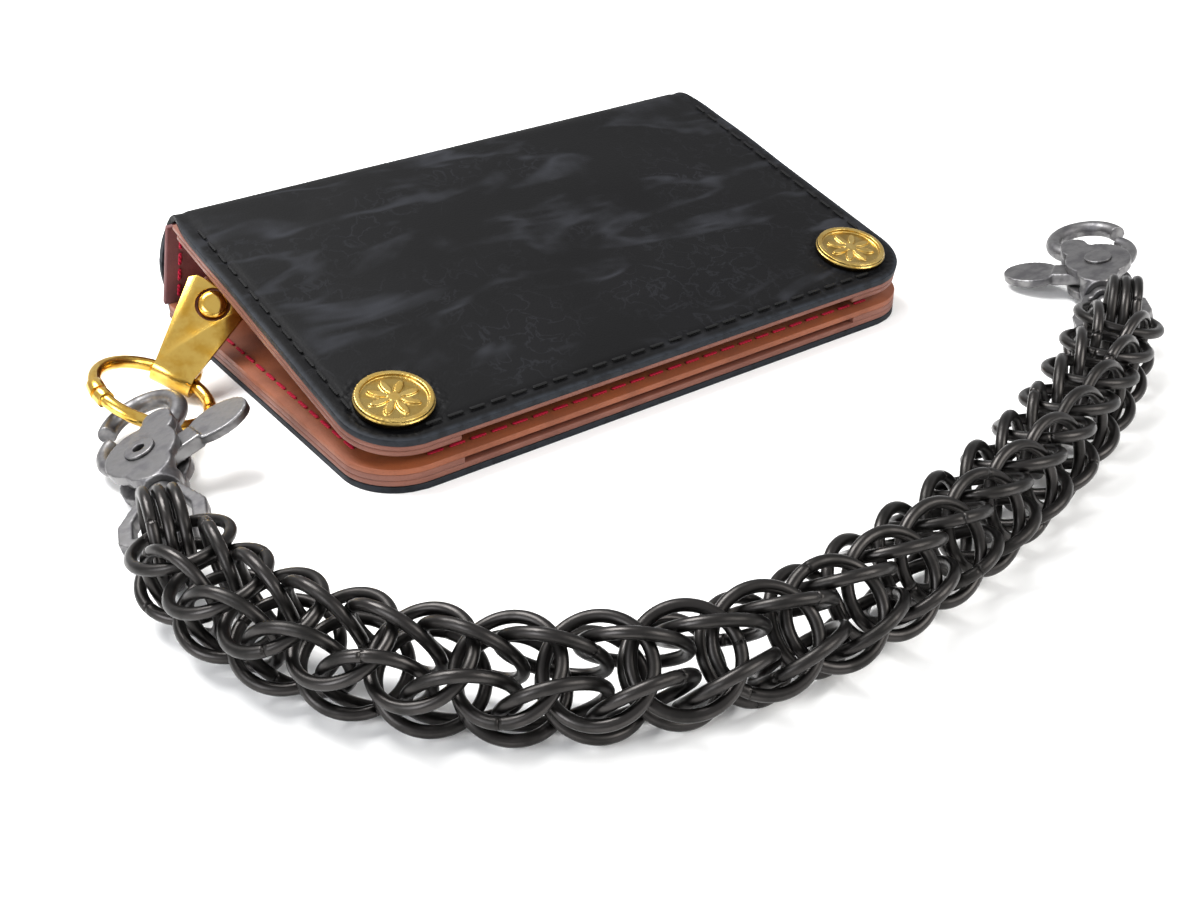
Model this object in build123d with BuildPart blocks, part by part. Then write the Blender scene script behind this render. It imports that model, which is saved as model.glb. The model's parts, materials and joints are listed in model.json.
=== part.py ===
from build123d import *
import os
from math import cos, radians, sin, sqrt

# A bifold leather wallet closed by two snaps, with a jump-ring chain clipped to a
# brass clamp at its open end.  Millimetres, +Z up.  The origin is on the underside
# of the wallet's back cover, midway along the fold and midway across the closed
# panel.  X runs along the fold, +Y points at the spine.

# wallet
LENGTH = 135.0  # along the fold
FRONT_Y = -43.0  # the edge that the snaps close
COVER_T = 1.4  # black outer leather
LAYER_T = 1.2  # tan inner leather
SLIP_T = 0.9  # card slips
CORNER_R = 12.0
BASE_HINGE_Y = 52.3  # bend between the back cover and the spine
SLOPE = 12.0  # the closed front cover rises towards the spine
TOP_LIFT = 6.98  # height of the front half's underside at the front edge
TOP_DEPTH = 86.0  # front edge to the upper fold, along the slope
SEAM_GAP = 0.3
STITCH_INSET = 3.0
STITCH_PITCH = 4.6
STITCH_L = 3.4

# snap fasteners
SNAP_INSET = 11.0
CAP_D = 15.2
POST_D = 3.6

# brass ring and clamp
RING_CENTRE = Vector(-86.6, 8.5, 6.3)
RING_NORMAL = Vector(0.42, -0.2, 1.0)
RING_R = 11.2
RING_WIRE = 2.6
BARREL_HEADING = Vector(0.75, 0.66, 0)
CLAMP_TOP = Vector(-68.5, 24.5, 16.0)

# trigger snaps
EYE_R = 7.3
EYE_WIRE = 3.6
EYE_CENTRE = (-1.0, 16.5)
SWIVEL_U = 2.0
BAR_V = -25.5

# chain
WIRE = 1.85
LINK_R = 7.95
PITCH = 12.3
COLUMN_R = 3.7  # a link's centre from the chain's axis
LEAN = 12.5  # a link leans along the chain, like a fish scale
CHAIN_ROLL = 6.0  # turn of the weave about the chain's axis at the left end
CHAIN_TWIST = 90.0  # and how much further it has turned by the last links
CHAIN_Z = 9.8
BAR_TO_LINK = 12.8  # strap eye's bar to the first pair of links
STATIONS = 19  # each has one link of every column
# the chain's axis on the table, as arcs: length in mm, turn in degrees to the left
CHAIN_ARCS = [
    (16.0, 15.0), (24.0, 22.5), (30.0, 20.5), (30.0, 28.5), (30.0, 22.0),
    (40.0, 9.0), (44.0, 10.0), (26.0, 6.0), (13.15, 4.0),
]
CHAIN_HEADING = -103.0
END_RING_HANG = 4.8  # an end ring's centre from the bar it hangs on, at most
END_RING_REACH = 3.2  # and along the table, at most

top_plane = Plane(
    origin=(0, FRONT_Y + 0.8, TOP_LIFT),
    x_dir=(1, 0, 0),
    z_dir=(0, -sin(radians(SLOPE)), cos(radians(SLOPE))),
)
cover_low = 2 * LAYER_T
cover_high = cover_low + COVER_T
base_hinge = Vector(0, BASE_HINGE_Y, COVER_T / 2)
top_hinge = top_plane.from_local_coords(Vector(0, TOP_DEPTH, cover_low + COVER_T / 2))
spine_run = top_hinge - base_hinge
spine_plane = Plane(
    origin=(base_hinge + top_hinge) * 0.5, x_dir=spine_run.normalized(), z_dir=(1, 0, 0)
)
spine_length = spine_run.length
edge_gap = COVER_T / 2 + SEAM_GAP
snap_x = LENGTH / 2 - SNAP_INSET
snap_places = {"left": -snap_x, "right": snap_x}

os.makedirs("parts", exist_ok=True)


def spun(plane, angle):
    """The same plane, turned about its own normal."""
    return Plane(plane.location * Location((0, 0, 0), (0, 0, angle)))


def save(part, name):
    """Label a finished piece and write it."""
    part.label = name
    export_step(part, f"parts/{name}.step")


def panel(plane, depth, thick, holes_y, mouth=0.0, hole_d=POST_D + 0.2):
    """One leather layer: square at the spine, rounded at the front, holed for the snaps.

    A mouth steps the middle of the front edge back, so that a note can be pulled out.
    """
    with BuildPart() as layer:
        with BuildSketch(plane) as outline:
            with Locations((0, depth / 2)):
                Rectangle(LENGTH, depth)
            corners = outline.vertices().filter_by(lambda v: plane.to_local_coords(v).Y < 1)
            fillet(corners, CORNER_R)
            if mouth:
                with Locations((0, 0)):
                    SlotOverall(LENGTH - 38, 2 * mouth, mode=Mode.SUBTRACT)
            with Locations((-snap_x, holes_y), (snap_x, holes_y)):
                Circle(hole_d / 2, mode=Mode.SUBTRACT)
        extrude(amount=thick)
    return layer.part


def stitch_line(plane, start, end, count):
    """Thread lying on a seam: half-round stitches spaced along a straight line."""
    run = Vector(*end) - Vector(*start)
    turn = Vector(1, 0, 0).get_signed_angle(run)
    places = []
    for step in range(count):
        at = Vector(*start) + run * ((step + 0.5) / count)
        places.append(Location((at.X, at.Y), turn))
    with BuildPart() as thread:
        with BuildSketch(plane):
            with Locations(*places):
                SlotOverall(STITCH_L, 0.7)
        extrude(amount=0.35)
    return thread.part


def seam(plane, depth):
    """Stitches along both short sides and the front edge of a panel."""
    side = LENGTH / 2 - STITCH_INSET
    sides = int((depth - CORNER_R - 6) / STITCH_PITCH)
    front = int((LENGTH - 2 * CORNER_R) / STITCH_PITCH)
    low, high = CORNER_R, CORNER_R + sides * STITCH_PITCH
    half = front * STITCH_PITCH / 2
    runs = [
        stitch_line(plane, (-side, low), (-side, high), sides),
        stitch_line(plane, (side, low), (side, high), sides),
        stitch_line(plane, (-half, STITCH_INSET), (half, STITCH_INSET), front),
    ]
    return Compound(children=runs)


# ---- back half of the wallet: outer cover, lining and the two pocket panels

stud_y = -31.1 - FRONT_Y
base_plane = Plane(origin=(0, FRONT_Y, 0))
base_depth = BASE_HINGE_Y - 1.5 - FRONT_Y
save(panel(base_plane, base_depth, COVER_T, stud_y), "bottom_cover")
lining_z = COVER_T
save(panel(base_plane.offset(lining_z), 90.5, LAYER_T, stud_y), "bottom_lining")
note_z = lining_z + LAYER_T
save(panel(base_plane.offset(note_z), 89.5, LAYER_T, stud_y, mouth=2.6), "note_pocket_panel")
pocket_z = note_z + LAYER_T
base_top = pocket_z + LAYER_T
save(panel(base_plane.offset(pocket_z), 89.5, LAYER_T, stud_y), "bottom_pocket_panel")
save(seam(base_plane.offset(base_top), 89.5), "bottom_lining_stitching")

# ---- spine: outer leather with its lining, stitched near both ends

with BuildPart() as spine_cover:
    with BuildSketch(spine_plane.offset(-LENGTH / 2)):
        SlotCenterToCenter(spine_length, COVER_T)
    extrude(amount=LENGTH)
save(spine_cover.part, "spine_cover")

with BuildPart() as spine_lining:
    with BuildSketch(spine_plane.offset(-LENGTH / 2)):
        with Locations((0.5, COVER_T / 2 + LAYER_T / 2)):
            Rectangle(spine_length - 7.0, LAYER_T)
    extrude(amount=LENGTH)
save(spine_lining.part, "spine_lining")

spine_face = Plane(
    origin=spine_plane.from_local_coords(Vector(0, COVER_T / 2 + LAYER_T, 0)),
    x_dir=(1, 0, 0),
    z_dir=spine_plane.y_dir,
)
spine_stitches = [
    stitch_line(spine_face, (x, -9.2), (x, 9.2), 4)
    for x in (-LENGTH / 2 + STITCH_INSET, LENGTH / 2 - STITCH_INSET)
]
save(Compound(children=spine_stitches), "spine_stitching")

# ---- front half: outer cover, lining, pocket panel and three stepped card slips

save(panel(top_plane.offset(cover_low), TOP_DEPTH - edge_gap, COVER_T, SNAP_INSET), "top_cover")
save(panel(top_plane.offset(LAYER_T), 82.0, LAYER_T, SNAP_INSET), "top_lining")
save(panel(top_plane, 80.0, LAYER_T, SNAP_INSET, mouth=2.6), "top_pocket_panel")
save(seam(top_plane.offset(cover_high), 84.0), "cover_stitching")

for number, reach in enumerate((54.0, 44.0, 34.0), start=1):
    with BuildPart() as card_slip:
        with BuildSketch(top_plane.offset(-number * SLIP_T)) as slip_face:
            with Locations((0, 19 + reach / 2)):
                Rectangle(LENGTH - 18, reach)
        extrude(amount=SLIP_T)
    save(card_slip.part, f"card_slip_{number}")

# ---- snap fasteners: cap and socket on the front half, stud and eyelet on the back

for side, x in snap_places.items():
    cap_plane = Plane(
        origin=top_plane.from_local_coords(Vector(x, SNAP_INSET, cover_high)),
        x_dir=(1, 0, 0),
        z_dir=top_plane.z_dir,
    )
    with BuildPart() as cap:
        with BuildSketch(cap_plane):
            Circle(CAP_D / 2)
        extrude(amount=1.0)
        with BuildSketch(cap_plane.offset(1.0)):
            Circle(CAP_D / 2 - 0.3)
            Circle(CAP_D / 2 - 1.3, mode=Mode.SUBTRACT)
        extrude(amount=0.7)
        with BuildSketch(cap_plane.offset(1.0)):
            with PolarLocations(3.1, 8):
                Ellipse(1.9, 0.75)
            Circle(1.3)
        extrude(amount=0.45)
        with BuildSketch(cap_plane):
            Circle(POST_D / 2)
        extrude(amount=-(cover_high + 0.4))
    save(cap.part, f"snap_cap_{side}")

    under = Plane(
        origin=top_plane.from_local_coords(Vector(x, SNAP_INSET, 0)),
        x_dir=(1, 0, 0),
        z_dir=-top_plane.z_dir,
    )
    with BuildPart() as socket:
        with BuildSketch(under):
            Circle(5.9)
            Circle(POST_D / 2 + 0.05, mode=Mode.SUBTRACT)
        extrude(amount=0.6)
        with BuildSketch(under.offset(0.6)):
            Circle(4.6)
            Circle(3.6, mode=Mode.SUBTRACT)
        extrude(amount=1.8)
    save(socket.part, f"snap_socket_{side}")

    stud_plane = Plane(origin=(x, FRONT_Y + stud_y, base_top))
    with BuildPart() as stud:
        with BuildSketch(stud_plane):
            Circle(5.2)
        extrude(amount=0.6)
        with BuildSketch(stud_plane.offset(0.6)):
            Circle(2.2)
        extrude(amount=1.2)
        with BuildSketch(stud_plane.offset(1.6)):
            Circle(2.6)
        extrude(amount=1.3)
        fillet(stud.edges().filter_by(GeomType.CIRCLE).group_by(Axis.Z)[-1], 0.5)
        with BuildSketch(stud_plane):
            Circle(1.2)
        extrude(amount=3.0, mode=Mode.SUBTRACT)
    save(stud.part, f"snap_stud_{side}")

    with BuildPart() as eyelet:
        with BuildSketch(Plane(origin=(x, FRONT_Y + stud_y, 0.15))):
            Circle(POST_D / 2)
        extrude(amount=base_top - 0.15)
        with BuildSketch(Plane(origin=(x, FRONT_Y + stud_y, base_top))):
            Circle(1.1)
        extrude(amount=2.6)
    save(eyelet.part, f"snap_post_{side}")

# ---- brass ring with its hinged gate, hung in the clamp's rolled barrel

ring_z = RING_NORMAL.normalized()
ring_plane = Plane(
    origin=RING_CENTRE,
    x_dir=(BARREL_HEADING - ring_z * BARREL_HEADING.dot(ring_z)).normalized(),
    z_dir=ring_z,
)


def ring_arc(start, sweep_by):
    """A stretch of the brass ring's wire, from one angle round its plane."""
    section = spun(ring_plane, start)
    with BuildPart() as arc:
        with BuildSketch(Plane(section.origin, section.x_dir, -section.y_dir)):
            with Locations((RING_R, 0)):
                Circle(RING_WIRE / 2)
        revolve(axis=Axis(section.origin, section.z_dir), revolution_arc=sweep_by)
    return arc.part


def at_ring(angle):
    """A point on the ring's centre line."""
    turn = radians(angle)
    return ring_plane.from_local_coords(Vector(RING_R * cos(turn), RING_R * sin(turn), 0))


GATE_FROM = 142.0  # the latch end, past the barrel on the left
GATE_SWEEP = 150.0
with BuildPart() as ring_body:
    add(ring_arc(GATE_FROM + GATE_SWEEP + 2.0, 360 - GATE_SWEEP - 4.0))
    collar = spun(ring_plane, GATE_FROM - 8.0)
    with BuildSketch(Plane(at_ring(GATE_FROM - 8.0), ring_z, collar.y_dir)):
        Circle(RING_WIRE / 2 + 0.4)
    extrude(amount=1.4, both=True)
save(ring_body.part, "ring_body")

with BuildPart() as ring_gate:
    add(ring_arc(GATE_FROM, GATE_SWEEP))
    collar = spun(ring_plane, GATE_FROM + 6.0)
    with BuildSketch(Plane(at_ring(GATE_FROM + 6.0), ring_z, collar.y_dir)):
        Circle(RING_WIRE / 2 + 0.4)
    extrude(amount=1.0, both=True)
save(ring_gate.part, "ring_gate")

barrel_at = at_ring(0)
barrel_axis = ring_plane.y_dir
climb = CLAMP_TOP - barrel_at
climb = (climb - barrel_axis * climb.dot(barrel_axis)).normalized()
clamp_plane = Plane(origin=barrel_at, x_dir=-barrel_axis, z_dir=(-barrel_axis).cross(climb))
BARREL_R = 3.1
BARREL_BORE = 2.35
BARREL_L = 8.4
PLATE_T = 0.9
PLATE_END = 19.5
WINDOW_Y = 15.4

with BuildPart() as clamp_plate:
    with BuildSketch(Plane(barrel_at, climb, barrel_axis)):
        Circle(BARREL_R)
    extrude(amount=BARREL_L / 2, both=True)
    with BuildSketch(clamp_plane.offset(BARREL_R - PLATE_T)):
        with BuildLine():
            Polyline(
                (-4.2, 0), (4.2, 0), (6.9, PLATE_END - 1.2), (5.6, PLATE_END),
                (-5.6, PLATE_END), (-6.9, PLATE_END - 1.2), close=True,
            )
        make_face()
        with Locations((0, WINDOW_Y)):
            Circle(3.5, mode=Mode.SUBTRACT)
    extrude(amount=PLATE_T)
    with BuildSketch(Plane(barrel_at, climb, barrel_axis)):
        Circle(BARREL_BORE)
    extrude(amount=BARREL_L, both=True, mode=Mode.SUBTRACT)
save(clamp_plate.part, "clamp_plate")

TAB_T = 1.6
TAB_W = 9.0
tab_face = BARREL_R - PLATE_T - 0.02
with BuildPart() as clamp_rivet:
    with BuildSketch(clamp_plane.offset(tab_face)):
        with Locations((0, WINDOW_Y)):
            Circle(3.0)
    extrude(amount=1.9)
    fillet(clamp_rivet.edges().sort_by(lambda e: clamp_plane.to_local_coords(e.center()).Z)[-1], 1.5)
save(clamp_rivet.part, "clamp_rivet")

# ---- leather tab: held under the clamp plate, twisting down to lie on the pocket panel

flat = Vector(climb.X, climb.Y, 0).normalized()
level = Vector(flat.Y, -flat.X, 0)
tab_low = clamp_plane.from_local_coords(Vector(0, 6.5, tab_face - TAB_T / 2))
tab_high = clamp_plane.from_local_coords(Vector(0, PLATE_END + 0.5, tab_face - TAB_T / 2))
tab_foot = Vector(tab_high.X, tab_high.Y, base_top + 0.05 + TAB_T / 2) + flat * 15.0
tab_curve = Edge.make_spline([tab_high, tab_foot], tangents=[climb * 0.6, flat * 1.2])
TAB_STEPS = 8
stations = [(tab_low, climb, 0.0)]
for step in range(TAB_STEPS + 1):
    along = step / TAB_STEPS
    stations.append((tab_curve @ along, tab_curve % along, min(1.0, along * 1.6)))
stations.append((tab_foot + flat * 9.0, flat, 1.0))
with BuildPart() as chain_tab:
    for at, normal, untwist in stations:
        wide = clamp_plane.x_dir * (1 - untwist) + level * untwist
        wide = (wide - normal * wide.dot(normal)).normalized()
        with BuildSketch(Plane(at, wide, normal)):
            Rectangle(TAB_W, TAB_T)
    loft(ruled=True)
save(chain_tab.part, "chain_tab")


# ---- trigger snaps: hook casting, thumb lever, hollow rivet, spring, swivel pin and
# ---- strap eye, each made round the rivet with X to the lever's side, Y to the hook

PLATE_LOW = 1.7
PLATE_HIGH = 3.7


def hook_casting():
    """Two cheeks, the neck that joins them, and the fixed part of the eye."""
    with BuildPart() as hook:
        for height in (PLATE_LOW, -PLATE_HIGH):
            with BuildSketch(Plane.XY.offset(height)):
                Ellipse(6.9, 7.6)
                with Locations((1.4, -6.2)):
                    Circle(4.3)
                with Locations((3.2, 6.6)):
                    Circle(3.4)
            extrude(amount=PLATE_HIGH - PLATE_LOW)
        with BuildSketch(Plane.XY.offset(-PLATE_HIGH)):
            with Locations((3.4, 9.0)):
                Circle(2.9)
        extrude(amount=2 * PLATE_HIGH)
        with BuildSketch(Plane.XZ.offset(6.8)):
            with Locations((SWIVEL_U, 0)):
                Circle(3.7)
        extrude(amount=4.0)
        start = radians(-56)
        first = Vector(EYE_CENTRE[0] + EYE_R * cos(start), EYE_CENTRE[1] + EYE_R * sin(start), 0)
        with BuildLine():
            CenterArc(EYE_CENTRE, EYE_R, -56, 226)
        with BuildSketch(Plane(first, (0, 0, 1), (-sin(start), cos(start), 0))):
            Circle(EYE_WIRE / 2)
        sweep()
        with BuildSketch(Plane.XY.offset(-PLATE_HIGH - 1)):
            Circle(1.85)
        extrude(amount=2 * PLATE_HIGH + 2, mode=Mode.SUBTRACT)
        with BuildSketch(Plane.XZ.offset(6.0)):
            with Locations((SWIVEL_U, 0)):
                Circle(1.35)
        extrude(amount=6.0, mode=Mode.SUBTRACT)
        with BuildSketch(Plane.XY.offset(-PLATE_LOW)):
            Circle(6.0)
        extrude(amount=2 * PLATE_LOW, mode=Mode.SUBTRACT)
    return hook.part


def thumb_lever():
    """One piece: hub on the rivet, paddle to the right, gate that closes the eye."""
    with BuildPart() as lever:
        with BuildSketch(Plane.XY.offset(-1.4)):
            Circle(5.0)
            with Locations(Location((6.2, 1.6), 22)):
                Rectangle(7.0, 5.0)
        extrude(amount=2.8)
        with BuildSketch(Plane.XY.offset(-0.9)):
            with Locations(Location((13.6, 4.8), 22)):
                Ellipse(6.2, 4.7)
        extrude(amount=1.8)
        with BuildLine():
            gate = ThreePointArc((-3.6, 2.4), (-8.6, 7.6), (-7.1, 13.4))
        with BuildSketch(Plane(gate @ 0, (0, 0, 1), gate % 0)):
            Circle(1.55)
        sweep()
        with BuildSketch(Plane.XY.offset(-2.0)):
            Circle(1.9)
        extrude(amount=4.0, mode=Mode.SUBTRACT)
        with BuildSketch(Plane.XY.offset(0.4)):
            Circle(3.4)
        extrude(amount=1.2, mode=Mode.SUBTRACT)
    return lever.part


def pivot_rivet():
    """A hollow rivet: flared ring on one face, round head on the other."""
    with BuildPart() as rivet:
        with BuildSketch(Plane.XY.offset(-PLATE_HIGH)):
            Circle(1.8)
        extrude(amount=2 * PLATE_HIGH)
        with BuildSketch(Plane.XY.offset(PLATE_HIGH)):
            Circle(2.9)
        extrude(amount=0.6)
        with BuildSketch(Plane.XY.offset(-PLATE_HIGH - 0.6)):
            Circle(2.9)
        extrude(amount=0.6)
        with BuildSketch(Plane.XY.offset(-1.0)):
            Circle(1.1)
        extrude(amount=8.0, mode=Mode.SUBTRACT)
    return rivet.part


def lever_spring():
    """Two turns of spring wire round the rivet, in the lever's recess."""
    with BuildPart() as spring:
        for height in (0.75, 1.3):
            with BuildSketch(Plane.XZ):
                with Locations((2.6, height)):
                    Circle(0.25)
            revolve(axis=Axis.Z)
    return spring.part


def swivel_pin():
    """Riveted in the neck; its ball end holds the strap eye."""
    with BuildPart() as pin:
        with BuildSketch(Plane.XZ.offset(7.4)):
            with Locations((SWIVEL_U, 0)):
                Circle(1.3)
        extrude(amount=6.9)
        with Locations((SWIVEL_U, -15.5, 0)):
            Sphere(2.25)
    return pin.part


def strap_eye():
    """A stirrup that turns on the pin; the chain's end rings hang on its bar."""
    with BuildPart() as stirrup:
        with BuildSketch(Plane.XY.offset(-1.4)) as frame_face:
            with BuildLine():
                Polyline(
                    (-3.3, -11.0), (3.3, -11.0), (7.7, -19.0), (7.7, -24.4),
                    (5.4, -26.9), (-5.4, -26.9), (-7.7, -24.4), (-7.7, -19.0), close=True,
                )
            make_face()
            fillet(frame_face.vertices(), 1.1)
            with BuildLine():
                Polyline(
                    (-2.7, -13.1), (2.7, -13.1), (5.1, -19.0), (5.1, -24.1),
                    (-5.1, -24.1), (-5.1, -19.0), close=True,
                )
            make_face(mode=Mode.SUBTRACT)
        extrude(amount=2.8)
        with BuildSketch(Plane.XZ.offset(11.0)):
            Circle(2.6)
        extrude(amount=2.1)
        with BuildSketch(Plane.XZ.offset(10.0)):
            Circle(1.4)
        extrude(amount=4.0, mode=Mode.SUBTRACT)
    return stirrup.part


def snap_frame(rivet_at, heading, roll, flip):
    """The plane of one snap: Y along the heading, rolled about it, perhaps turned over."""
    forward = Vector(cos(radians(heading)), sin(radians(heading)), 0)
    right = Vector(sin(radians(heading)), -cos(radians(heading)), 0)
    turn = radians(roll)
    across = right * cos(turn) + Vector(0, 0, sin(turn))
    if flip:
        across = -across
    return Plane(origin=rivet_at, x_dir=across, z_dir=across.cross(forward))


SNAPS = {
    "left": (snap_frame((-97.2, -15.7, 6.0), 69.4, 20.0, False), 6.0),
    "right": (snap_frame((104.1, -62.3, 6.3), 51.7, 12.0, True), -6.0),
}
for side, (frame, eye_roll) in SNAPS.items():
    place = frame.location
    save(hook_casting().moved(place), f"hook_{side}")
    save(thumb_lever().moved(place), f"lever_{side}")
    save(pivot_rivet().moved(place), f"lever_rivet_{side}")
    save(lever_spring().moved(place), f"lever_spring_{side}")
    save(swivel_pin().moved(place), f"swivel_pin_{side}")
    stirrup_at = place * Location((SWIVEL_U, 0, 0), (0, eye_roll, 0))
    save(strap_eye().moved(stirrup_at), f"strap_eye_{side}")

# ---- chain: four columns of open jump rings, each linked to the columns beside it


def on_chain(distance):
    """Point and heading (radians) of the chain's axis, measured from the left bar."""
    frame = SNAPS["left"][0]
    bar = frame.from_local_coords(Vector(SWIVEL_U, BAR_V, 0))
    x, y, heading = bar.X, bar.Y, radians(CHAIN_HEADING)
    for length, turn in CHAIN_ARCS:
        step = min(length, distance)
        bend = radians(turn) * step / length
        chord = step * (sin(bend / 2) / (bend / 2) if bend else 1.0)
        x += chord * cos(heading + bend / 2)
        y += chord * sin(heading + bend / 2)
        heading += bend
        distance -= step
        if distance <= 0:
            break
    return Vector(x, y, CHAIN_Z), heading


with BuildPart() as jump_ring:
    with BuildSketch(Plane.XZ):
        with Locations((LINK_R, 0)):
            Circle(WIRE / 2)
    revolve(axis=Axis.Z, revolution_arc=358.5)


first_link = BAR_TO_LINK
last_link = first_link + (STATIONS - 0.5) * PITCH


def link_place(distance, column):
    """Where one link of a column lies: offset outwards, leaning along the chain."""
    at, heading = on_chain(distance)
    forward = Vector(cos(heading), sin(heading), 0)
    left = Vector(-sin(heading), cos(heading), 0)
    twist = CHAIN_TWIST * (distance - first_link) / (last_link - first_link)
    around = radians(90 - 90 * column + CHAIN_ROLL + twist)
    outward = Vector(0, 0, 1) * sin(around) + left * cos(around)
    lean = radians(LEAN) * (1 if column % 2 == 0 else -1)
    along = forward * cos(lean) + outward * sin(lean)
    plane = Plane(
        origin=at + outward * COLUMN_R, x_dir=along, z_dir=along.cross(forward.cross(outward))
    )
    return spun(plane, 65 * column + 40 * distance).location


def end_ring_places(bar, bar_axis, heading, height):
    """Three upright rings side by side, each resting against a strap eye's bar."""
    away = Vector(cos(heading), sin(heading), 0)
    places = []
    for offset in (-2.5, 0, 2.5):
        held = bar + bar_axis * offset
        reach = min(END_RING_REACH, sqrt(END_RING_HANG**2 - (height - held.Z) ** 2))
        upright = Plane(
            origin=Vector(held.X, held.Y, height) + away * reach,
            x_dir=(0, 0, 1),
            z_dir=(-away.Y, away.X, 0),
        )
        places.append(spun(upright, 100 + 25 * offset).location)
    return places


left_heading = on_chain(0)[1]
right_heading = on_chain(last_link + BAR_TO_LINK)[1] + radians(184)
for side, heading, height in (("left", left_heading, 8.95), ("right", right_heading, 9.2)):
    frame, eye_roll = SNAPS[side]
    bar = frame.from_local_coords(Vector(SWIVEL_U, BAR_V, 0))
    bar_axis = frame.x_dir * cos(radians(eye_roll)) - frame.z_dir * sin(radians(eye_roll))
    with BuildPart() as end_rings:
        with Locations(*end_ring_places(bar, bar_axis, heading, height)):
            add(jump_ring.part)
    save(end_rings.part, f"end_rings_{side}")

for first in range(0, STATIONS, 2):
    places = []
    for station in range(first, min(first + 2, STATIONS)):
        for column in range(4):
            distance = first_link + (station + 0.5 * (column % 2)) * PITCH
            places.append(link_place(distance, column))
    with BuildPart() as links:
        with Locations(*places):
            add(jump_ring.part)
    save(links.part, f"chain_section_{first // 2 + 1:02d}")
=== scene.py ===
import json
from math import atan2, cos, exp, hypot, pi, radians, sin, sqrt, tan

import bpy
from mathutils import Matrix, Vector, noise


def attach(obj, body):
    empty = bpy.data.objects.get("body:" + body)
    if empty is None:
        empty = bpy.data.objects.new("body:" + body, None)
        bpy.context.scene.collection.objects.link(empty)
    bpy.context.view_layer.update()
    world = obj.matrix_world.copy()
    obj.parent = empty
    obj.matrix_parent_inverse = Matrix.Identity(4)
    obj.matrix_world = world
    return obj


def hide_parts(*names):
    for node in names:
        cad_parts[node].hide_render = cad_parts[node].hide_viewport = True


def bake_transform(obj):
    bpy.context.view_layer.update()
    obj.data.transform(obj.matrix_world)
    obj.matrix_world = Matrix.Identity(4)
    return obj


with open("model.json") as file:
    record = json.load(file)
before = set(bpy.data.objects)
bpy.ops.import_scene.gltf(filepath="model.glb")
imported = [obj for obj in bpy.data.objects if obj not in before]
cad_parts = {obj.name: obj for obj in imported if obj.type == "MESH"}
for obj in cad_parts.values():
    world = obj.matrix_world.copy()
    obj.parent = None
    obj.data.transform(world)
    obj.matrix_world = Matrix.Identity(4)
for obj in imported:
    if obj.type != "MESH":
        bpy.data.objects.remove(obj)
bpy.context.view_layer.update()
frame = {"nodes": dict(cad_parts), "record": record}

record = frame["record"]

MM = 0.001


# ---- Table and studio.  A pale matte table under three soft boxes, and a camera that
# ---- stands in front of the wallet's open left corner, looking down at it.

def only(*chosen):
    """Select these objects and nothing else; the first becomes the active one."""
    if bpy.context.mode != "OBJECT":
        bpy.ops.object.mode_set(mode="OBJECT")
    bpy.ops.object.select_all(action="DESELECT")
    for item in chosen:
        item.select_set(True)
    bpy.context.view_layer.objects.active = chosen[0]


def colour(code):
    """An sRGB hex value as the linear colour that a shader wants."""
    channels = [int(code[i:i + 2], 16) / 255 for i in (1, 3, 5)]
    linear = [c / 12.92 if c <= 0.04045 else ((c + 0.055) / 1.055) ** 2.4 for c in channels]
    return (*linear, 1.0)


def add_node(tree, kind, inputs=None, **settings):
    """Add one shader node: its settings by name, its inputs as values or as links."""
    made = tree.nodes.new(kind)
    for name, value in settings.items():
        setattr(made, name, value)
    for name, value in (inputs or {}).items():
        if isinstance(value, bpy.types.NodeSocket):
            tree.links.new(value, made.inputs[name])
        else:
            made.inputs[name].default_value = value
    return made


def new_material(name, **shader):
    """A material with one Principled shader; returns material, tree, shader and mm coordinates."""
    material = bpy.data.materials.new(name)
    material.use_nodes = True
    tree = material.node_tree
    principled = tree.nodes["Principled BSDF"]
    for socket, value in shader.items():
        principled.inputs[socket.replace("_", " ")].default_value = value
    place = add_node(tree, "ShaderNodeTexCoord").outputs["Object"]
    in_mm = add_node(
        tree, "ShaderNodeVectorMath", {0: place, 1: (1000, 1000, 1000)}, operation="MULTIPLY"
    ).outputs[0]
    return material, tree, principled, in_mm


TABLE_ACROSS = 6.0  # metres
table_top = new_material("matte_white_table", Roughness=0.75, Base_Color=colour("#fbfbfa"))[0]
bpy.ops.mesh.primitive_grid_add(x_subdivisions=8, y_subdivisions=8, size=TABLE_ACROSS)
table = bpy.context.object
table.name = "table"
table.data.materials.append(table_top)

world = bpy.data.worlds.new("studio")
bpy.context.scene.world = world
bpy.context.scene.view_settings.view_transform = "Standard"
world.use_nodes = True
background = world.node_tree.nodes["Background"].inputs
background["Color"].default_value = colour("#f7f7f9")
background["Strength"].default_value = 0.75

# name, place in metres, diameter, watts, tint
SOFT_BOXES = [
    ("key_box", (-0.20, 0.35, 0.75), 0.50, 11.0, "#ffffff"),
    ("front_box", (0.35, -0.70, 0.60), 0.60, 5.5, "#fdfbf7"),
    ("side_box", (-0.80, -0.20, 0.40), 0.45, 4.0, "#f7faff"),
]
for name, at, width, power, tint in SOFT_BOXES:
    lamp = bpy.data.lights.new(name, "AREA")
    lamp.shape = "DISK"
    lamp.size = width
    lamp.energy = power
    lamp.color = colour(tint)[:3]
    box = bpy.data.objects.new(name, lamp)
    box.location = at
    box.rotation_euler = (Vector((0, 0, 0)) - Vector(at)).to_track_quat("-Z", "Y").to_euler()
    bpy.context.scene.collection.objects.link(box)

view = bpy.data.cameras.new("camera")
view.lens = 47.73
view.sensor_width = 36.0
camera = bpy.data.objects.new("camera", view)
camera.location = (-0.1740, -0.2575, 0.1545)
camera.rotation_euler = Vector((0.5033, 0.6928, -0.5165)).to_track_quat("-Z", "Y").to_euler()
bpy.context.scene.collection.objects.link(camera)
bpy.context.scene.camera = camera


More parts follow.
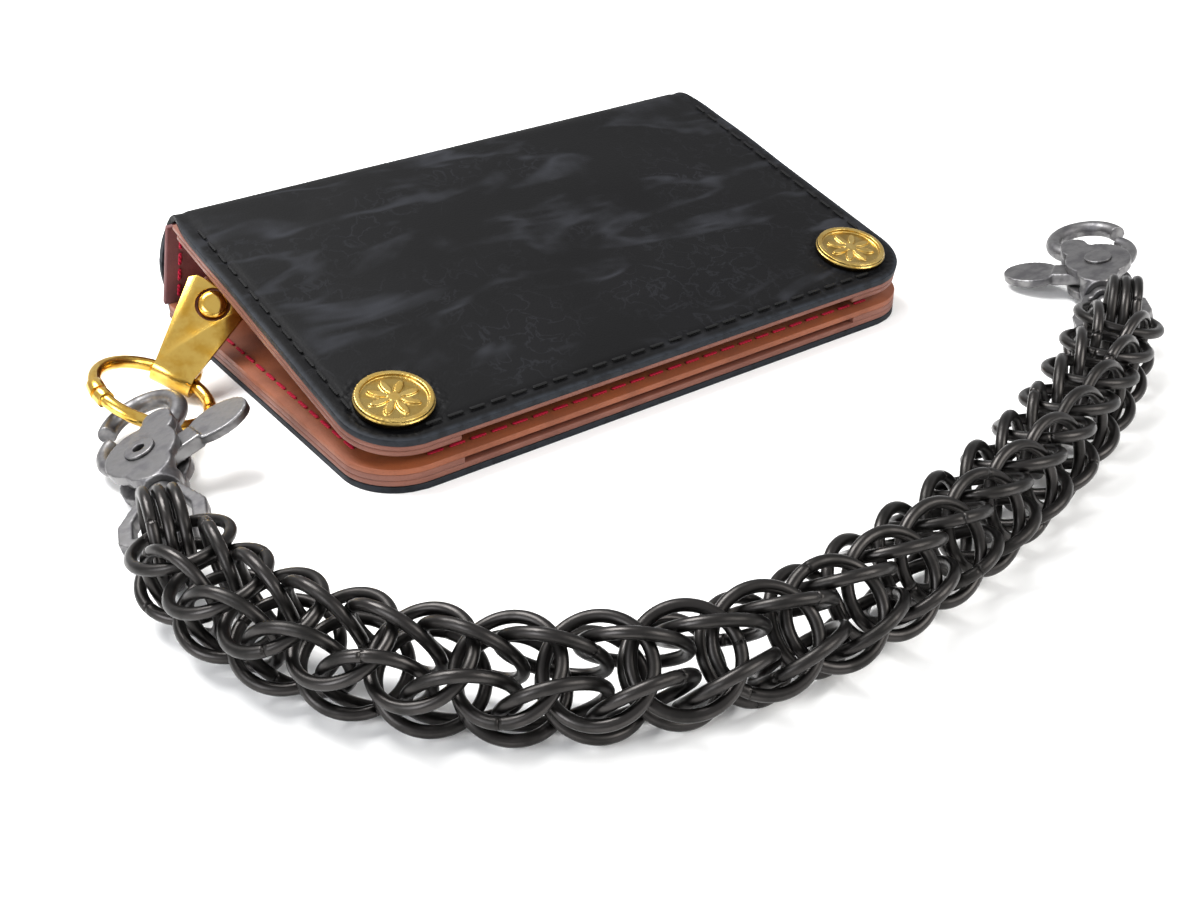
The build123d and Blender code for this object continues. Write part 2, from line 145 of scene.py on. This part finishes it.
# ---- Outer cover.  One hide of black pull-up leather, 1.4 mm thick, folded round the
# ---- contents: it is made flat, skived and edge-painted, and then bent at the spine.
# ---- It is two pieces here, which meet half way up the spine, one for each bend.

def blend_colour(tree, amount, low, high):
    """Mix two colours, each a hex value or a link, by an amount."""
    low = colour(low) if isinstance(low, str) else low
    high = colour(high) if isinstance(high, str) else high
    mix = add_node(tree, "ShaderNodeMix", {0: amount, 6: low, 7: high}, data_type="RGBA")
    return mix.outputs[2]


def between(tree, value, low, high, to_low=0.0, to_high=1.0):
    """Spread the part of a value between two limits over another range."""
    inputs = {"Value": value, "From Min": low, "From Max": high, "To Min": to_low, "To Max": to_high}
    return add_node(tree, "ShaderNodeMapRange", inputs, interpolation_type="SMOOTHSTEP").outputs[0]


def black_pull_up_leather():
    """Waxed full-grain hide: near black, with pale veins where the wax has moved."""
    made, tree, shader, mm = new_material("black_pull_up_leather", Specular_IOR_Level=0.12)
    # long soft folds 20 to 40 mm apart, drawn out across the hide
    stretched = add_node(
        tree, "ShaderNodeMapping",
        {"Vector": mm, "Rotation": (0, 0, radians(38)), "Scale": (0.022, 0.058, 0.04)},
    ).outputs[0]
    swirl = add_node(
        tree, "ShaderNodeTexNoise", {"Vector": stretched, "Scale": 1.0, "Detail": 3.0, "Distortion": 0.45}
    ).outputs["Fac"]
    off_ridge = add_node(tree, "ShaderNodeMath", {0: swirl, 1: 0.5}, operation="SUBTRACT").outputs[0]
    ridge = add_node(tree, "ShaderNodeMath", {0: off_ridge}, operation="ABSOLUTE").outputs[0]
    vein = between(tree, ridge, 0.0, 0.05, 1.0, 0.0)
    # wrinkles a few millimetres apart, in patches
    fine = add_node(
        tree, "ShaderNodeTexNoise", {"Vector": mm, "Scale": 0.2, "Detail": 5.0, "Distortion": 0.5}
    ).outputs["Fac"]
    off_web = add_node(tree, "ShaderNodeMath", {0: fine, 1: 0.5}, operation="SUBTRACT").outputs[0]
    near_web = add_node(tree, "ShaderNodeMath", {0: off_web}, operation="ABSOLUTE").outputs[0]
    web = between(tree, near_web, 0.0, 0.03, 0.35, 0.0)
    patches = add_node(
        tree, "ShaderNodeTexNoise", {"Vector": mm, "Scale": 0.05, "Detail": 5.0}
    ).outputs["Fac"]
    either = add_node(tree, "ShaderNodeMath", {0: vein, 1: web}, operation="MAXIMUM").outputs[0]
    shown = between(tree, patches, 0.38, 0.68)
    veins = add_node(tree, "ShaderNodeMath", {0: either, 1: shown}, operation="MULTIPLY").outputs[0]
    cloudy = between(tree, patches, 0.35, 0.75)
    hide = blend_colour(tree, cloudy, "#040405", "#09090b")
    hide = blend_colour(tree, veins, hide, "#26272b")
    rim = add_node(tree, "ShaderNodeAttribute", attribute_name="rim").outputs["Fac"]
    worn = add_node(tree, "ShaderNodeTexNoise", {"Vector": mm, "Scale": 0.5, "Detail": 4.0}).outputs["Fac"]
    painted = between(tree, rim, 0.45, 0.95)
    rubbed = between(tree, worn, 0.3, 0.6, 0.45, 1.0)
    patchy = add_node(tree, "ShaderNodeMath", {0: painted, 1: rubbed}, operation="MULTIPLY").outputs[0]
    tree.links.new(blend_colour(tree, patchy, hide, "#23262b"), shader.inputs["Base Color"])
    # pores 0.45 mm apart
    pores = add_node(
        tree, "ShaderNodeTexVoronoi", {"Vector": mm, "Scale": 2.2}, feature="SMOOTH_F1"
    ).outputs["Distance"]
    crimp = add_node(tree, "ShaderNodeAttribute", attribute_name="crimp").outputs["Fac"]
    pebble = add_node(
        tree, "ShaderNodeTexVoronoi", {"Vector": mm, "Scale": 0.85}, feature="SMOOTH_F1"
    ).outputs["Distance"]
    pressed = add_node(tree, "ShaderNodeMath", {0: crimp, 1: pebble}, operation="MULTIPLY").outputs[0]
    grain = add_node(tree, "ShaderNodeBump", {"Height": pores, "Strength": 0.22, "Distance": 0.00008})
    folds = add_node(
        tree, "ShaderNodeBump",
        {"Height": veins, "Strength": 0.35, "Distance": 0.00012, "Normal": grain.outputs[0]}, invert=True,
    )
    pebbled = add_node(
        tree, "ShaderNodeBump",
        {"Height": pressed, "Strength": 0.8, "Distance": 0.0004, "Normal": folds.outputs[0]},
    )
    tree.links.new(pebbled.outputs[0], shader.inputs["Normal"])
    waxy = between(tree, patches, 0.3, 0.7, 0.5, 0.64)
    dry = between(tree, veins, 0, 1, 0, 0.12)
    rough = add_node(tree, "ShaderNodeMath", {0: waxy, 1: dry}, operation="ADD").outputs[0]
    tree.links.new(rough, shader.inputs["Roughness"])
    return made


LENGTH = 135.0
COVER_T = 1.4
CORNER_R = 12.0
SLOPE = radians(12.0)
TOP_DEPTH = 86.0
BASE_DEPTH = 95.3
FRONT_TOP = (-42.845, 10.012)  # y, z of the front cover's mid-thickness at its front edge
FRONT_BASE = (-43.0, 0.7)
SNAPS_AT = [(-56.5, 11.0), (56.5, 11.0)]
SEAM_INSET = 3.0
FOLD_PULL = 1.5  # how far the sides draw in where the hide is folded
FOLD_SPREAD = 6.0
SKIVE = 0.42  # radius of the rounded cut edge
RIM_PAINT = 2.4  # width of the painted rim
SEAM_DIP = 0.28
SEAT_R = 8.2  # a snap's seat: where the cap presses a groove into the hide
SEAT_DIP = 0.22
CRIMP_R = 8.7
EDGE_TAPER = 0.12
CROWN = 0.25  # how far the front half bows up along its middle
UNEVEN = 0.5
BELLY = 1.1  # how far the spine bulges outwards
BASE_FOLD = Vector((0, 52.3, 0.7))
TOP_FOLD = Vector((0, 41.276, 27.893))
spine_height = (TOP_FOLD - BASE_FOLD).length
spine_angle = atan2(TOP_FOLD.z - BASE_FOLD.z, TOP_FOLD.y - BASE_FOLD.y)


def bent(start, angle, straight, radius, turn):
    """A route that runs straight, turns through an arc and runs on: s to (y, z, angle)."""
    def route(s):
        y, z, heading = start[0], start[1], angle
        run = min(s, straight)
        y, z = y + run * cos(heading), z + run * sin(heading)
        arc = radius * abs(turn)
        if s > straight:
            bend = turn * min(1.0, (s - straight) / arc)
            chord = 2 * radius * sin(abs(bend) / 2)
            y, z = y + chord * cos(heading + bend / 2), z + chord * sin(heading + bend / 2)
            heading += bend
        if s > straight + arc:
            y, z = y + (s - straight - arc) * cos(heading), z + (s - straight - arc) * sin(heading)
        return y, z, heading
    return route


def half_width(s):
    """How far the cover reaches to each side, at a distance from its rounded front edge."""
    if s >= CORNER_R:
        return LENGTH / 2
    return LENGTH / 2 - CORNER_R + sqrt(CORNER_R**2 - (CORNER_R - s) ** 2)


def from_edge(x, s):
    """Distance from the cover's cut edge, inwards."""
    side = LENGTH / 2 - abs(x)
    if s < CORNER_R and side < CORNER_R:
        return CORNER_R - hypot(CORNER_R - s, CORNER_R - side)
    return min(side, s)


def flat_hide(name, length, fold, columns, rows):
    """A flat leather sheet: rounded front corners, sides pulled in a little at the fold."""
    bpy.ops.mesh.primitive_grid_add(x_subdivisions=columns, y_subdivisions=rows, size=2.0)
    hide = bpy.context.object
    hide.name = name
    for v in hide.data.vertices:
        along = (v.co.y + 1) / 2
        # rows crowd together at the rounded corners
        s = length * (0.55 * along + 0.45 * along**2.2) if along < 1 else length
        reach = half_width(max(s, 0.02)) - FOLD_PULL * exp(-(((s - fold) / FOLD_SPREAD) ** 2))
        v.co = Vector((v.co.x * reach, s, 0)) * MM
    only(hide)
    wall = hide.modifiers.new("thickness", "SOLIDIFY")
    wall.thickness = COVER_T * MM
    wall.offset = 0
    bpy.ops.object.modifier_apply(modifier="thickness")
    rounded = hide.modifiers.new("skived_edge", "BEVEL")
    rounded.width = SKIVE * MM
    rounded.segments = 3
    rounded.limit_method = "ANGLE"
    rounded.angle_limit = radians(50)
    bpy.ops.object.modifier_apply(modifier="skived_edge")
    return hide


def form_hide(hide, route, snap_side, lift):
    """Press the seam and the snap seats into a flat sheet, then bend it along its route."""
    rims, crimps = [], []
    for v in hide.data.vertices:
        x, s, t = v.co / MM
        edge = from_edge(x, s)
        rims.append(1.0 - min(1.0, max(0.0, edge / RIM_PAINT)))
        near = min(hypot(x - cx, s - cy) for cx, cy in snap_side)
        crimps.append(exp(-(((near - CRIMP_R) / 1.1) ** 2)))
        pressed = SEAM_DIP * exp(-(((edge - SEAM_INSET) / 0.8) ** 2)) if t > 0 else 0.0
        seat = SEAT_DIP * exp(-((near - SEAT_R) ** 2)) if t > 0 else 0.0
        taper = EDGE_TAPER * exp(-((edge / 1.2) ** 2))
        y, z, heading = route(s)
        out = t - pressed - seat - taper + lift(x, s)
        v.co = Vector((x, y - out * sin(heading), z + out * cos(heading))) * MM
    for name, values in (("rim", rims), ("crimp", crimps)):
        attribute = hide.data.attributes.new(name, "FLOAT", "POINT")
        attribute.data.foreach_set("value", values)
    only(hide)
    bpy.ops.object.shade_smooth_by_angle(angle=radians(55))


def wave(x, s, size):
    """Slow unevenness of hand-worked leather."""
    return noise.noise(Vector((x / 26.0, s / 21.0, 3.7))) * size


def top_lift(x, s):
    """The front half bows up a little along its middle; flat where the snaps hold it."""
    near = min(hypot(x - cx, s - cy) for cx, cy in SNAPS_AT)
    free = min(1.0, max(0.0, (near - 9.0) / 14.0)) * min(1.0, s / 18.0)
    fade = min(1.0, max(0.0, (TOP_DEPTH - s) / 12.0))
    bow = CROWN * sin(pi * min(1.0, s / TOP_DEPTH)) * (1 - (x / 75.0) ** 2)
    belly = spine_belly((s - TOP_DEPTH) / spine_height) if s > TOP_DEPTH else 0.0
    return max(0.0, (bow + wave(x, s, UNEVEN)) * free) * fade + belly


def spine_belly(from_fold):
    """The spine leather bulges outwards between its two folds."""
    return BELLY * sin(pi * min(1.0, max(0.0, from_fold)))


def base_lift(x, s):
    """The back half lies flat; its spine part bulges like the rest of the spine."""
    return -spine_belly((s - BASE_DEPTH) / spine_height) if s > BASE_DEPTH else 0.0


leather = black_pull_up_leather()

TOP_BEND = 5.4
top_turn = -(pi - (spine_angle - SLOPE))
top_tangent = TOP_BEND * tan(abs(top_turn) / 2)
upper_route = bent(FRONT_TOP, SLOPE, TOP_DEPTH - top_tangent, TOP_BEND, top_turn)
upper_length = TOP_DEPTH - 2 * top_tangent + TOP_BEND * abs(top_turn) + spine_height / 2
upper = flat_hide("front_cover_leather", upper_length, TOP_DEPTH, 130, 110)
form_hide(upper, upper_route, SNAPS_AT, top_lift)
upper.data.materials.append(leather)

BASE_BEND = 2.8
base_turn = spine_angle
base_tangent = BASE_BEND * tan(base_turn / 2)
lower_route = bent(FRONT_BASE, 0.0, BASE_DEPTH - base_tangent, BASE_BEND, base_turn)
lower_length = BASE_DEPTH - 2 * base_tangent + BASE_BEND * base_turn + spine_height / 2
lower = flat_hide("back_cover_leather", lower_length, BASE_DEPTH, 110, 90)
form_hide(lower, lower_route, SNAPS_AT, base_lift)
lower.data.materials.append(leather)

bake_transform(upper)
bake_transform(lower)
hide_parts("top_cover", "spine_cover")
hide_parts("bottom_cover")


# ---- Linings, pocket panels and card slips.  Vegetable-tanned leather, cut clean and
# ---- glued and sewn inside the cover; the stacked edges are burnished with wax.

body_of = {node: body for body, nodes in record["behaviour"]["bodies"].items() for node in nodes}


def made_from(node, name, edge=0.0, voxel=0.0, soften=0, smooth=40):
    """A finished piece from a CAD node's own shape: its edges rounded, or cast soft."""
    piece = bpy.data.objects.new(name, frame["nodes"][node].data.copy())
    bpy.context.scene.collection.objects.link(piece)
    piece.data.materials.clear()
    only(piece)
    bpy.ops.object.mode_set(mode="EDIT")
    bpy.ops.mesh.select_all(action="SELECT")
    bpy.ops.mesh.remove_doubles(threshold=0.000002)
    if edge:
        bpy.ops.mesh.dissolve_limited(angle_limit=radians(0.8))
    bpy.ops.object.mode_set(mode="OBJECT")
    if voxel:
        skin = piece.modifiers.new("cast", "REMESH")
        skin.mode = "VOXEL"
        skin.voxel_size = voxel * MM
        bpy.ops.object.modifier_apply(modifier="cast")
        if soften:
            polish = piece.modifiers.new("tumbled", "SMOOTH")
            polish.factor = 0.5
            polish.iterations = soften
            bpy.ops.object.modifier_apply(modifier="tumbled")
        bpy.ops.object.shade_smooth()
    else:
        if edge:
            rounded = piece.modifiers.new("rounded", "BEVEL")
            rounded.width = edge * MM
            rounded.segments = 2
            rounded.limit_method = "ANGLE"
            rounded.angle_limit = radians(35)
            bpy.ops.object.modifier_apply(modifier="rounded")
        bpy.ops.object.shade_smooth_by_angle(angle=radians(smooth))
    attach(piece, body_of[node])
    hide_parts(node)
    return piece


def veg_tan_leather(name, pale, deep, waxed):
    """Vegetable-tanned hide: warm, cloudy, fine pores, darker and glossier where waxed."""
    made, tree, shader, mm = new_material(name, IOR=1.46)
    cloud = add_node(tree, "ShaderNodeTexNoise", {"Vector": mm, "Scale": 0.12, "Detail": 6.0}).outputs["Fac"]
    fibre = add_node(tree, "ShaderNodeTexNoise", {"Vector": mm, "Scale": 2.4, "Detail": 4.0}).outputs["Fac"]
    body = blend_colour(tree, between(tree, cloud, 0.2, 0.8), pale, deep)
    body = blend_colour(tree, between(tree, fibre, 0.5, 0.8, 0.0, 0.35), body, waxed)
    tree.links.new(body, shader.inputs["Base Color"])
    tree.links.new(between(tree, cloud, 0.3, 0.7, 0.5, 0.68), shader.inputs["Roughness"])
    bump = add_node(tree, "ShaderNodeBump", {"Height": fibre, "Strength": 0.3, "Distance": 0.00012})
    tree.links.new(bump.outputs[0], shader.inputs["Normal"])
    return made


burnished_tan = veg_tan_leather("burnished_veg_tan_leather", "#784838", "#62382c", "#47271f")
interior = veg_tan_leather("orange_tan_lining_leather", "#8a4a2a", "#713b22", "#542b19")
oxblood = veg_tan_leather("oxblood_lining_leather", "#6b3634", "#542a2b", "#3f2022")

for node in ("bottom_lining", "note_pocket_panel", "top_lining", "top_pocket_panel"):
    made_from(node, node + "_leather", edge=0.28).data.materials.append(burnished_tan)
made_from("bottom_pocket_panel", "bottom_pocket_panel_leather", edge=0.28).data.materials.append(interior)
for number in (1, 2, 3):
    made_from(f"card_slip_{number}", f"card_slip_{number}_leather", edge=0.22).data.materials.append(interior)
made_from("spine_lining", "spine_lining_leather", edge=0.3).data.materials.append(oxblood)


# ---- Stitching.  Waxed 0.7 mm thread, saddle-stitched: black through the cover, crimson
# ---- inside, each stitch sunk at its two ends where it goes through the leather.

def waxed_thread(name, dark, light):
    """Twisted waxed thread: matte, with the twist showing as slanting bands."""
    made, tree, shader, mm = new_material(name, Roughness=0.62, Specular_IOR_Level=0.2)
    twist = add_node(
        tree, "ShaderNodeTexWave", {"Vector": mm, "Scale": 0.9, "Distortion": 0.6},
        bands_direction="DIAGONAL",
    ).outputs["Fac"]
    tree.links.new(blend_colour(tree, twist, dark, light), shader.inputs["Base Color"])
    bump = add_node(tree, "ShaderNodeBump", {"Height": twist, "Strength": 0.6, "Distance": 0.00012})
    tree.links.new(bump.outputs[0], shader.inputs["Normal"])
    return made


black_thread = waxed_thread("black_waxed_thread", "#020202", "#0b0b0c")
crimson_thread = waxed_thread("crimson_waxed_thread", "#8f1029", "#cf2244")
for node, thread in (
    ("cover_stitching", black_thread),
    ("bottom_lining_stitching", crimson_thread),
    ("spine_stitching", crimson_thread),
):
    made_from(node, node + "_thread", voxel=0.11, soften=3).data.materials.append(thread)


# ---- Snap fasteners. Pressed brass, the caps with painted shade in their recesses round a
# ---- raised eight-petal flower; cap and socket hold the front half, stud and post the back.

def plated_metal(name, bright, dull, roughness, dark=None, grit=0.35):
    """A worked metal: slight clouding of tone, hairline handling marks, soft gloss; given a dark colour, it
    paints shade into the recesses that a mesh attribute marks.
    """
    made, tree, shader, mm = new_material(name, Metallic=1.0)
    cloud = add_node(tree, "ShaderNodeTexNoise", {"Vector": mm, "Scale": grit, "Detail": 5.0}).outputs["Fac"]
    tone = blend_colour(tree, between(tree, cloud, 0.35, 0.7), bright, dull)
    if dark:
        # painted shade: the tone darkens where the attribute marks the recessed field
        painted_recess_shade = add_node(tree, "ShaderNodeAttribute", attribute_name="painted_recess_shade").outputs["Fac"]
        tone = blend_colour(tree, painted_recess_shade, tone, dark)
    tree.links.new(tone, shader.inputs["Base Color"])
    rough = between(tree, cloud, 0.3, 0.75, roughness * 0.8, roughness * 1.3)
    tree.links.new(rough, shader.inputs["Roughness"])
    scratch = add_node(
        tree, "ShaderNodeTexNoise", {"Vector": mm, "Scale": 3.0, "Detail": 3.0, "Distortion": 1.5}
    ).outputs["Fac"]
    bump = add_node(tree, "ShaderNodeBump", {"Height": scratch, "Strength": 0.12, "Distance": 0.00006})
    tree.links.new(bump.outputs[0], shader.inputs["Normal"])
    return made


nickel = plated_metal("antique_nickel_plate", "#7c7b7b", "#59585a", 0.42)
# the caps' brass, with painted shade in the recesses round the relief
cap_brass = plated_metal("brass_cap_with_painted_shade", "#cdb068", "#a98a45", 0.3, dark="#3a2d17")
RELIEF = 0.62  # from the cap's highest point down to its field, which is darkened as painted shade
FADE = 0.22
brass = plated_metal("polished_brass", "#e2bd62", "#c79a3c", 0.2)
for side in ("left", "right"):
    cap = made_from("snap_cap_" + side, "snap_cap_relief_" + side, voxel=0.14, soften=3)
    cap.data.materials.append(cap_brass)
    cap_axis = Vector((0, -sin(SLOPE), cos(SLOPE)))
    # painted shade: the deeper a point lies below the relief's field, the darker its colour
    heights = [v.co.dot(cap_axis) / MM for v in cap.data.vertices]
    field = max(heights) - RELIEF
    recess = cap.data.attributes.new("painted_recess_shade", "FLOAT", "POINT")
    recess.data.foreach_set("value", [min(1.0, max(0.0, (field - h) / FADE)) for h in heights])
    for part in ("socket", "stud", "post"):
        made_from(f"snap_{part}_{side}", f"snap_{part}_brass_{side}", edge=0.12).data.materials.append(brass)


# ---- Clamp, ring and tab.  A polished brass plate rolled round the ring at one end and
# ---- riveted to a leather tab at the other; the ring opens on a small hinged gate.

for node, edge in (("clamp_plate", 0.25), ("clamp_rivet", 0.1), ("ring_body", 0.25), ("ring_gate", 0.25)):
    made_from(node, node + "_brass", edge=edge).data.materials.append(brass)
made_from("chain_tab", "chain_tab_leather", voxel=0.3, soften=6).data.materials.append(burnished_tan)


# ---- Trigger snaps.  Zinc castings, tumbled smooth and plated antique nickel: a body
# ---- with an open eye, a thumb lever on a hollow rivet, and a stirrup on a ball pin.

for side in ("left", "right"):
    for node, voxel, soften in (
        ("hook", 0.22, 9),
        ("lever", 0.22, 9),
        ("strap_eye", 0.22, 8),
        ("lever_rivet", 0.15, 3),
        ("swivel_pin", 0.2, 3),
    ):
        name = f"{node}_{side}"
        made_from(name, name + "_casting", voxel=voxel, soften=soften).data.materials.append(nickel)
    made_from(f"lever_spring_{side}", f"lever_spring_{side}_wire").data.materials.append(nickel)


# ---- Chain.  Jump rings of 1.85 mm spring wire, blackened, each butted shut and linked in
# ---- a four-sided weave; three more hang on the bar of each stirrup.

COAT = 0.09
black_oxide = plated_metal("black_oxide_steel", "#3b3938", "#292827", 0.36, grit=0.2)
for node in sorted(frame["nodes"]):
    if node.startswith(("chain_section", "end_rings")):
        wire = made_from(node, node + "_wire")
        wire.data.materials.append(black_oxide)
        only(wire)
        coat = wire.modifiers.new("oxide_and_wax", "DISPLACE")
        coat.strength = COAT * MM
        coat.mid_level = 0.0
        bpy.ops.object.modifier_apply(modifier="oxide_and_wax")
